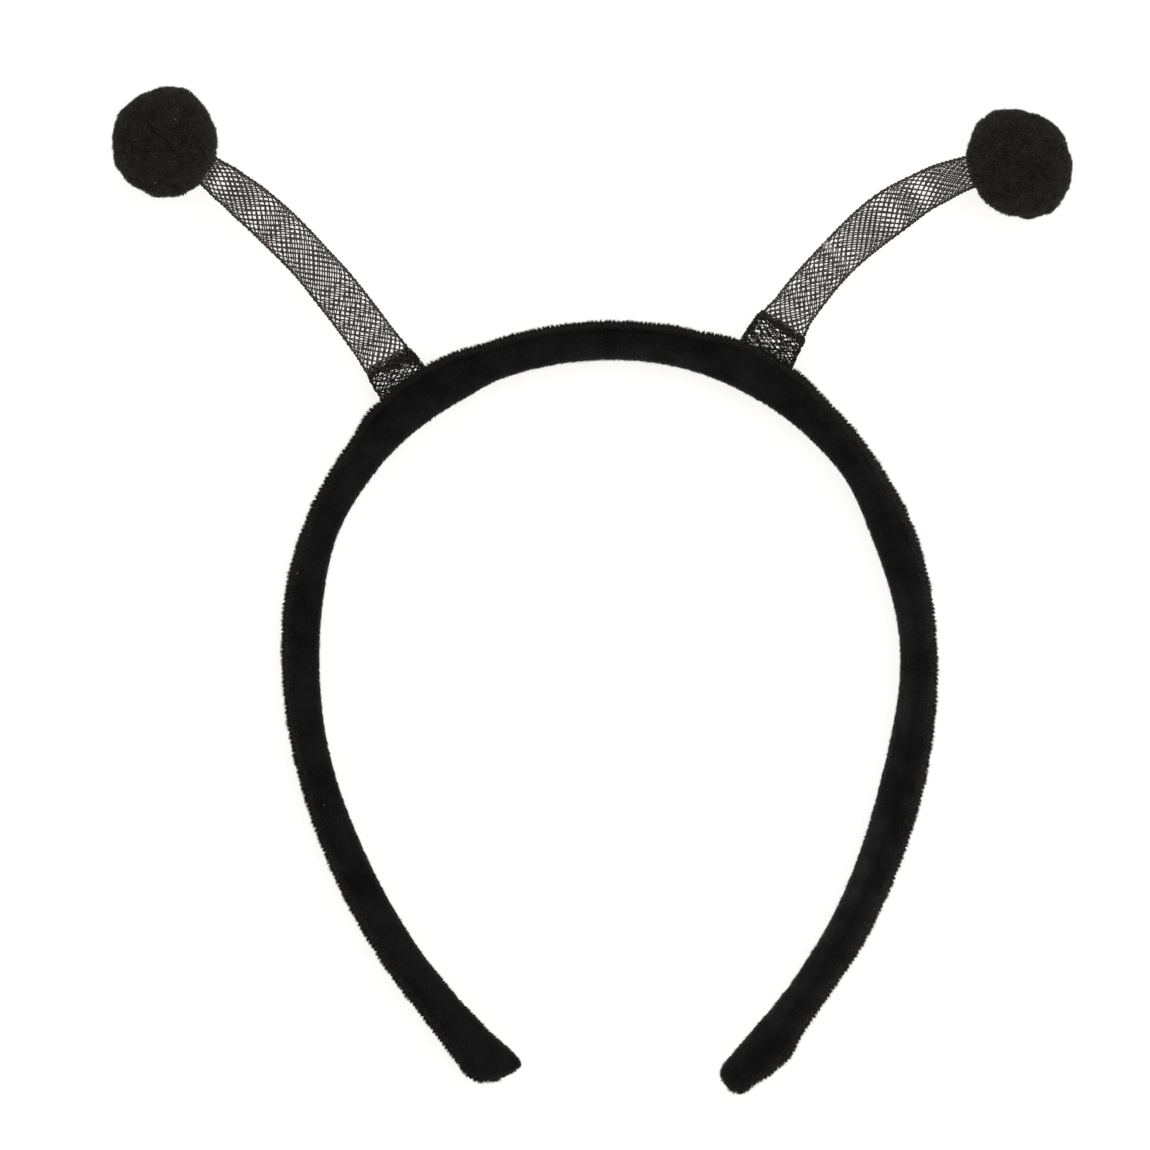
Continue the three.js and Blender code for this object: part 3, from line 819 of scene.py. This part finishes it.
def in_ball_crease(side, points):
    """How near points on top of a ball are to its crease, 1 in its middle and 0 away from it."""
    line = BALL_CREASE[side]
    near = np.zeros(len(points))
    for start, end in zip(line, line[1:]):
        far, _ = off_line(points, start, end)
        near = np.maximum(near, np.exp(-(far / BALL_CREASE_WIDE) ** 2))
    return near * (points[:, 2] > BALL_RADIUS)


def on_ball(side, ways, inset=0.0):
    """Points of a ball in these directions: round locks, a little oval, pressed in, and flat where
    it rests."""
    feeler = FEELERS[side]
    locks = golden_directions(LOCK_COUNT, feeler["turn"])
    nearest = np.arccos(np.clip(ways @ locks.T, -1, 1)).min(axis=-1)
    lock_angle = 2 / math.sqrt(LOCK_COUNT)
    radius = BALL_RADIUS - inset - LOCK_DIP * np.minimum(1, (nearest / lock_angle) ** 2)
    for toward, deep, spread in feeler["presses"]:
        away = np.arccos(np.clip(ways @ level(toward), -1, 1))
        radius = radius - deep * np.exp(-(away / math.radians(spread)) ** 2)
    points = ways * radius[..., None]
    long_way = level(feeler["long"])
    points = points + ((feeler["oval"] - 1) * (points @ long_way))[..., None] * long_way
    points = points + ball_centre(side)
    points = points - ways * (BALL_CREASE_DEEP * in_ball_crease(side, points))[..., None]
    points[..., 2] = np.maximum(points[..., 2], inset)
    return points


def ball_core(side, knit):
    """The knitted ground of a ball, as rings from its top down."""
    polar = np.linspace(0, math.pi, BALL_FACES + 1)[1:-1]
    around = np.arange(2 * BALL_FACES) * math.pi / BALL_FACES
    rings, wide = len(polar), len(around)
    polar, around = np.meshgrid(polar, around, indexing="ij")
    ways = np.stack([np.sin(polar) * np.cos(around), np.sin(polar) * np.sin(around), np.cos(polar)], -1)
    ways = np.concatenate([ways.reshape(-1, 3), [(0, 0, 1), (0, 0, -1)]])
    quads, fans = ring_faces(rings, wide)
    facing_out = [quads[:, [0, 3, 2, 1]], fans[:, ::-1]]
    return make_piece(f"ball_core_{side}", on_ball(side, ways, BALL_INSET), facing_out, [knit])


def ball_pile(side, fluff, lint, seed):
    """Cut pile all over a ball, drawn together in small tufts and parted at the crease."""
    rng = np.random.default_rng(seed)
    ways = unit(golden_directions(BALL_FIBRES) + rng.normal(0, BALL_JITTER, (BALL_FIBRES, 3)))
    tufts = golden_directions(BALL_TUFTS)
    tufts = unit(tufts + rng.normal(0, BALL_TUFT_JITTER, (BALL_TUFTS, 3)))
    blocks = np.array_split(ways, BALL_BLOCKS)
    mine = np.concatenate([np.argmax(block @ tufts.T, axis=1) for block in blocks])
    on_knit = on_ball(side, ways)
    parted = in_ball_crease(side, on_knit)
    of_tuft = rng.uniform(*BALL_TUFT_UNEVEN, BALL_TUFTS)[mine]
    length = BALL_PILE * of_tuft * rng.uniform(*BALL_FIBRE_UNEVEN, BALL_FIBRES)
    length = length * (1 - BALL_CREASE_SHORTENS * parted)
    roots = on_ball(side, ways, BALL_INSET + ROOT_DEEP)
    lean = rng.normal(0, BALL_STRAY, (BALL_FIBRES, 3))
    draw = BALL_DRAW * (on_ball(side, tufts)[mine] - on_knit)
    tips = roots + unit(ways + lean) * length[:, None] + draw
    kept = parted < rng.uniform(*BALL_CREASE_BARES, BALL_FIBRES)
    roots, tips, ways = roots[kept], tips[kept], ways[kept]
    # Painted shading by how far out from a ball's top each fibre is, and painted light on every tip.
    pale = between(BALL_PAINTED_SHADING, np.linalg.norm(ways[:, :2], axis=1), 1)
    return spikes(
        f"ball_pile_{side}", roots, tips, BALL_FIBRE, rng, [fluff, lint], LINT[side],
        np.ones(len(roots)), pale,
    )


# The feelers.

def feeler_line(side):
    """A feeler's middle line as close points, and how far along each is."""
    f = FEELERS[side]
    x, y, _ = on_middle_line(side, np.array([f["foot"]]))
    start = np.array([x[0], y[0], BAND_DEPTH / 2])
    end = ball_centre(side)
    first = start + f["reach"] * level(f["leave"])
    second = end - f["hold"] * level(f["arrive"])
    u = np.linspace(0, 1, FEELER_STEPS + 1)[:, None]
    points = (
        start * (1 - u) ** 3 + 3 * first * u * (1 - u) ** 2 + 3 * second * u ** 2 * (1 - u) + end * u ** 3
    )
    return points, run_along(points)


def oval_walk():
    """How far round an oval of the stalk's shape each share of its edge lies, as an angle."""
    angle = np.linspace(0, 2 * math.pi, OVAL_STEPS + 1)
    wide, deep = STALK_OVAL
    run = run_along(np.stack([wide * np.cos(angle), deep * np.sin(angle)], -1))
    return run / run[-1], angle


OVAL_SHARES, OVAL_ANGLES = oval_walk()


def round_tube(sections, start, stop, distance):
    """How far it is round a feeler's oval tube."""
    place = (distance - start) / (stop - start)
    a, b = between(sections, place, 1) / 2, between(sections, place, 2) / 2
    return math.pi * (3 * (a + b) - np.sqrt((3 * a + b) * (a + 3 * b)))


def cuff_sections(side):
    """A foot's sections, as wide as this side's foot is."""
    return [(along, width * FEELERS[side]["flare"], depth) for along, width, depth in CUFF_SECTIONS]


def on_tube(side, sections, start, stop, distance, share, inset):
    """Points and outward normals on a feeler's oval tube. share is how far round, in turns."""
    points, run = feeler_line(side)

    def line_at(place):
        """Points of the middle line this far along it."""
        return np.stack([np.interp(place, run, axis) for axis in points.T], -1)

    along = unit(line_at(distance + FEELER_STEP) - line_at(distance - FEELER_STEP))
    across = unit(np.cross(np.array([0, 0, 1.0]), along))
    normal = np.cross(along, across)
    place = (distance - start) / (stop - start)
    width = between(sections, place, 1) / 2 - inset
    depth = between(sections, place, 2) / 2 - inset
    angle = np.interp(np.mod(share, 1), OVAL_SHARES, OVAL_ANGLES)
    edge = across * (width * np.cos(angle))[..., None] + normal * (depth * np.sin(angle))[..., None]
    outward = across * (depth * np.cos(angle))[..., None] + normal * (width * np.sin(angle))[..., None]
    return line_at(distance) + edge, unit(outward)


def painted_glint(points):
    """How much painted glint the nylon gets at these points: a soft streak over the upper half of
    the right stalk.
    """
    far, share = off_line(points, *PAINTED_GLINT)
    above = np.clip((points[:, 2] - PAINTED_GLINT_ABOVE) / PAINTED_GLINT_BLEND, 0, 1)
    pale = PAINTED_GLINT_FAINT + PAINTED_GLINT_STRONG * np.exp(-PAINTED_GLINT_FADE * share)
    return np.exp(-(far / PAINTED_GLINT_WIDE) ** 2) * above * pale


def strand_mesh(name, groups, crin, bunched_and_shaded):
    """Strands as closed round tubes, one for each path. Groups are paths, their outward normals, how
    thick they are and how much painted glint each of them gets. bunched_and_shaded is how much
    painted shade they all get."""
    points, faces, caps, maps, cap_maps, glint_shares = [], [], [], [], [], []
    rows = sum(len(paths) for paths, *_ in groups)
    row = 0
    offset = 0
    sides = np.arange(STRAND_SIDES)
    turn = 2 * math.pi * sides / STRAND_SIDES
    round_cap = np.stack([0.5 + 0.5 * np.cos(turn), 0.5 + 0.5 * np.sin(turn)], -1)
    for paths, outward, thick, pale in groups:
        strands, steps = paths.shape[:2]
        along = unit(np.gradient(paths, axis=1))
        side = unit(np.cross(along, outward))
        up = np.cross(side, along)
        ring = np.cos(turn)[:, None] * side[:, :, None] + np.sin(turn)[:, None] * up[:, :, None]
        points.append((paths[:, :, None] + thick * ring).reshape(-1, 3))
        glint_shares.append(np.repeat(pale, steps * STRAND_SIDES))
        s, i, k = np.meshgrid(np.arange(strands), np.arange(steps - 1), sides, indexing="ij")
        base = offset + (s * steps + i) * STRAND_SIDES
        nxt = (k + 1) % STRAND_SIDES
        quad = [base + k, base + STRAND_SIDES + k, base + STRAND_SIDES + nxt, base + nxt]
        faces.append(np.stack(quad, -1).reshape(-1, 4))
        first = offset + np.arange(strands)[:, None] * steps * STRAND_SIDES + sides
        caps += [first, first[:, ::-1] + (steps - 1) * STRAND_SIDES]
        # The map: a row for each strand, its run along u and its round along v, its caps at the end.
        u = MAP_RUN * np.stack([i, i + 1, i + 1, i], -1) / (steps - 1)
        v = row + s[..., None] + MAP_EDGE + MAP_ROW * np.stack([k, k, k + 1, k + 1], -1) / STRAND_SIDES
        maps.append(np.stack([u, v / rows], -1).reshape(-1, 2))
        mine = row + np.arange(strands)[:, None] + MAP_EDGE
        for place, shape in zip(MAP_CAPS, (round_cap, round_cap[::-1])):
            u = np.broadcast_to(place + MAP_CAP_WIDE * shape[:, 0], (strands, STRAND_SIDES))
            cap_maps.append(np.stack([u, (mine + MAP_ROW * shape[:, 1]) / rows], -1).reshape(-1, 2))
        row += strands
        offset += strands * steps * STRAND_SIDES
    points = np.concatenate(points)
    faces = [np.concatenate(faces), *caps]
    # Painted glint and painted shade, as marks on the strands' points.
    marks = {
        "painted_glint": np.maximum(painted_glint(points), np.concatenate(glint_shares)),
        "bunched_and_shaded": np.full(len(points), bunched_and_shaded),
    }
    return make_piece(name, points, faces, [crin], np.concatenate(maps + cap_maps), marks=marks)


def braid(side, lay, sections, start, stop, low, high, rng):
    """Strands of a braid, each way round the tube, over one and under one. Its lay is a row of the
    table of braids. They are in place at the rim of the foot and wander as they leave it."""
    count, thick = lay["strands"], lay["thick"]
    rim = FEELERS[side]["rim"]
    steps = max(FEWEST_STEPS, round((high - low) / STRAND_STEP))
    distance = np.linspace(low, high, steps)
    away = distance - rim
    # Where the tube is drawn narrower its strands lie more along it.
    perimeter = round_tube(sections, start, stop, distance)
    sine = math.sin(math.radians(lay["angle"])) * perimeter / BRAID_PERIMETER
    rate = np.tan(np.arcsin(np.clip(sine, 0, STEEPEST_SINE))) / perimeter
    wound = np.concatenate([[0], np.cumsum((rate[1:] + rate[:-1]) / 2 * np.diff(distance))])
    wound = wound - np.interp(rim, distance, wound)
    weave = thick * WEAVE_LIFT * np.cos(2 * math.pi * count * wound)
    steady = TWIST_STEADY * away / TWIST_RUN
    swing = TWIST_SWING * (1 - np.cos(away / TWIST_SWING_RUN))
    twist = BRAID_TWIST * (steady + swing) / count
    loosen = np.clip(np.abs(away) / lay["held"], 0, 1)
    paths, outs = [], []
    for way in (1, -1):
        slip = loosen * wobble(rng, distance, lay["period"], lay["slip"] / count, count)
        share = np.arange(count)[:, None] / count + way * wound + twist + slip
        run = np.broadcast_to(distance, share.shape)
        at, out = on_tube(side, sections, start, stop, run, share, lay["inset"] + 2 * thick)
        paths.append(at + out * (way * weave)[None, :, None])
        outs.append(out)
    return np.concatenate(paths), np.concatenate(outs), thick, np.zeros(2 * count)


def stalk(side, crin, seed):
    """One stalk: open braid from the rim of its foot into its ball."""
    rng = np.random.default_rng(seed)
    f = FEELERS[side]
    _, run = feeler_line(side)
    stop = run[-1] - STALK_INTO_BALL
    strands = braid(side, BRAIDS["stalk"], f["sections"], f["rim"], stop, f["rim"], stop, rng)
    return strand_mesh(f"stalk_braid_{side}", [strands], crin, bunched_and_shaded=0)


def frayed_rim(side, rng):
    """The frayed edge of the tucked end: strands bunched round the rim, and short cut ends that
    stick up and down out of it."""
    rim = FEELERS[side]["rim"]

    def tall(turns):
        """How tall the rim is this far round the foot."""
        return np.interp(np.cos(2 * math.pi * turns), [-1, 1], RIM_TALL[side][::-1])

    def rise(turns):
        """How far the rim stands above the foot's end this far round it."""
        return RIM_LIFT[side] + RIM_TILT[side] * np.cos(2 * math.pi * turns)

    edge = np.linspace(0, BRAID_PERIMETER, RIM_STEPS)
    going_round = np.linspace(0, 1, RIM_STEPS) * rng.uniform(*RIM_ROUND, (RIM_STRANDS, 1))
    turns = going_round + rng.random((RIM_STRANDS, 1))
    below = rng.random((RIM_STRANDS, 1)) + wobble(rng, edge, *RIM_WANDER, RIM_STRANDS)
    level_at = np.minimum(rim - RIM_UNDER - tall(turns) * below, rim + RIM_OVER) + rise(turns)
    depth = BRAIDS["tuck"]["inset"] + wobble(rng, edge, *RIM_DEPTH_WANDER, RIM_STRANDS)
    bunched_and_shaded = on_tube(side, cuff_sections(side), 0, rim, level_at, turns, depth)
    run = np.linspace(-0.5, 0.5, CUT_STEPS)
    slope = rng.uniform(-CUT_SLOPE, CUT_SLOPE, (CUT_ENDS, 1))
    middle = rng.random((CUT_ENDS, 1))
    long = (CUT_LONG + tall(middle)) * rng.uniform(*CUT_UNEVEN, (CUT_ENDS, 1))
    level_at = rim - tall(middle) * rng.uniform(0, CUT_DOWN, (CUT_ENDS, 1)) + run * long * np.sin(slope)
    turns = middle + run * long * np.cos(slope) / BRAID_PERIMETER
    level_at = np.minimum(level_at, rim + CUT_OVER) + rise(turns)
    depth = rng.uniform(*LOOSE_DEPTH, (CUT_ENDS, 1))
    ends = on_tube(side, cuff_sections(side), 0, rim, level_at, turns, depth)
    # Painted glint on some cut ends.
    pale = CUT_END_GLINT * rng.random(CUT_ENDS) ** 2
    return [(*bunched_and_shaded, RIM_THICK, np.zeros(RIM_STRANDS)), (*ends, RIM_THICK, pale)]


def bunched_sides(side, rng):
    """Strands of the tucked end that run along the two edges of the foot, from its rim to the band.
    Each wanders by a third of its bunch."""
    rim = FEELERS[side]["rim"]
    distance = np.linspace(CUFF_FROM, rim - SIDE_SHORT, SIDE_STEPS)
    groups = []
    for edge, count, spread in SIDE_BUNCHES[side]:
        place = edge + rng.uniform(-spread, spread, (count, 1))
        turns = place + wobble(rng, distance, SIDE_WANDER_RUN, spread / 3, count)
        depth = rng.uniform(*LOOSE_DEPTH, (count, 1))
        run = np.broadcast_to(distance, turns.shape)
        bunch = on_tube(side, cuff_sections(side), 0, rim, run, turns, depth)
        groups.append((*bunch, RIM_THICK, np.zeros(count)))
    return groups


def cuff(side, crin, seed):
    """The doubled foot of a stalk: the stalk's own braid, its end tucked up inside, the frayed edge
    of that end, which makes a thick dark rim, and strands of it bunched along the foot's edges. All
    of its strands get painted shade."""
    rng = np.random.default_rng(seed)
    rim = FEELERS[side]["rim"]
    sections = cuff_sections(side)
    outside = braid(side, BRAIDS["foot"], sections, 0, rim, CUFF_FROM, rim, rng)
    tucked = braid(side, BRAIDS["tuck"], sections, 0, rim, CUFF_FROM, rim - RIM_UNDER, rng)
    groups = [outside, tucked, *frayed_rim(side, rng), *bunched_sides(side, rng)]
    # All of the foot's strands get painted shade.
    return strand_mesh(f"cuff_braid_{side}", groups, crin, bunched_and_shaded=1)


def finish_piece(piece, slot, *nodes):
    """Puts a piece on the one body and hides the solids that it stands for. Its slot is not used."""
    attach(piece, "root")
    if nodes:
        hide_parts(*nodes)


def dress():
    """Every piece of the headband, in its material."""
    ground = black_velvet("black velvet ground", 6, "#090909", "#121212", "#121211", 0.02, 0.04)
    velvet = black_velvet("black velvet pile", 6, "#0f0f0f", "#1c1c1c", "#3d362f", 0.05, 0.06)
    knit = black_velvet("black knit ground", 2.5, "#131211", "#1c1b1a", "#1c1b1a", 0.02, 0.03)
    fluff = black_velvet("black polyester pile", 2.5, "#171615", "#2a2927", "#443f3a", 0.08, 0.08)
    crin = black_crin()
    lint = cotton_lint()
    cover = band_cover(ground)
    finish_piece(cover, "velvet", "band")
    for k, part in enumerate(VELVET_PARTS):
        finish_piece(band_pile(part, velvet, lint, SEEDS["band pile"] + k), "velvet")
    for k, side in enumerate(SIDES):
        finish_piece(ball_core(side, knit), "pile", f"ball_{side}")
        finish_piece(ball_pile(side, fluff, lint, SEEDS["ball pile"] + k), "pile")
        finish_piece(stalk(side, crin, SEEDS["stalk"] + k), "crin", f"stalk_{side}")
        finish_piece(cuff(side, crin, SEEDS["cuff"] + k), "crin", f"cuff_{side}")


def studio():
    """The lit table, soft light from all round and a large lamp above, and the camera."""
    corners = [(x * TABLE_HALF, y * TABLE_HALF, 0) for x, y in ((-1, -1), (1, -1), (1, 1), (-1, 1))]
    floor = make_piece("floor", np.array(corners, float), [np.array([[0, 1, 2, 3]])], [lit_acrylic()])
    world = bpy.data.worlds.new("studio")
    world.use_nodes = True
    world.node_tree.nodes.clear()
    sky = node(world.node_tree, "ShaderNodeBackground", {"Color": (1, 1, 1, 1), "Strength": SKY_STRENGTH})
    node(world.node_tree, "ShaderNodeOutputWorld", links={"Surface": sky.outputs["Background"]})
    scene = bpy.context.scene
    scene.world = world
    scene.view_settings.view_transform = "Standard"
    lamp = bpy.data.lights.new("overhead_softbox", "AREA")
    lamp.shape = "DISK"
    lamp.size = LAMP_WIDE * MM
    lamp.energy = LAMP_WATTS
    light = bpy.data.objects.new("overhead_softbox", lamp)
    light.location = [place * MM for place in LAMP_AT]
    light.rotation_euler = [math.radians(angle) for angle in LAMP_TURNED]
    scene.collection.objects.link(light)
    lens = bpy.data.cameras.new("camera")
    lens.sensor_width = SENSOR_WIDE
    lens.lens = SENSOR_WIDE * (CAMERA_AT[2] - SEEN_AT_HEIGHT) / SEEN_WIDE
    lens.clip_start = CAMERA_NEAREST * MM
    camera = bpy.data.objects.new("camera", lens)
    camera.location = [place * MM for place in CAMERA_AT]
    scene.collection.objects.link(camera)
    scene.camera = camera


dress()
studio()
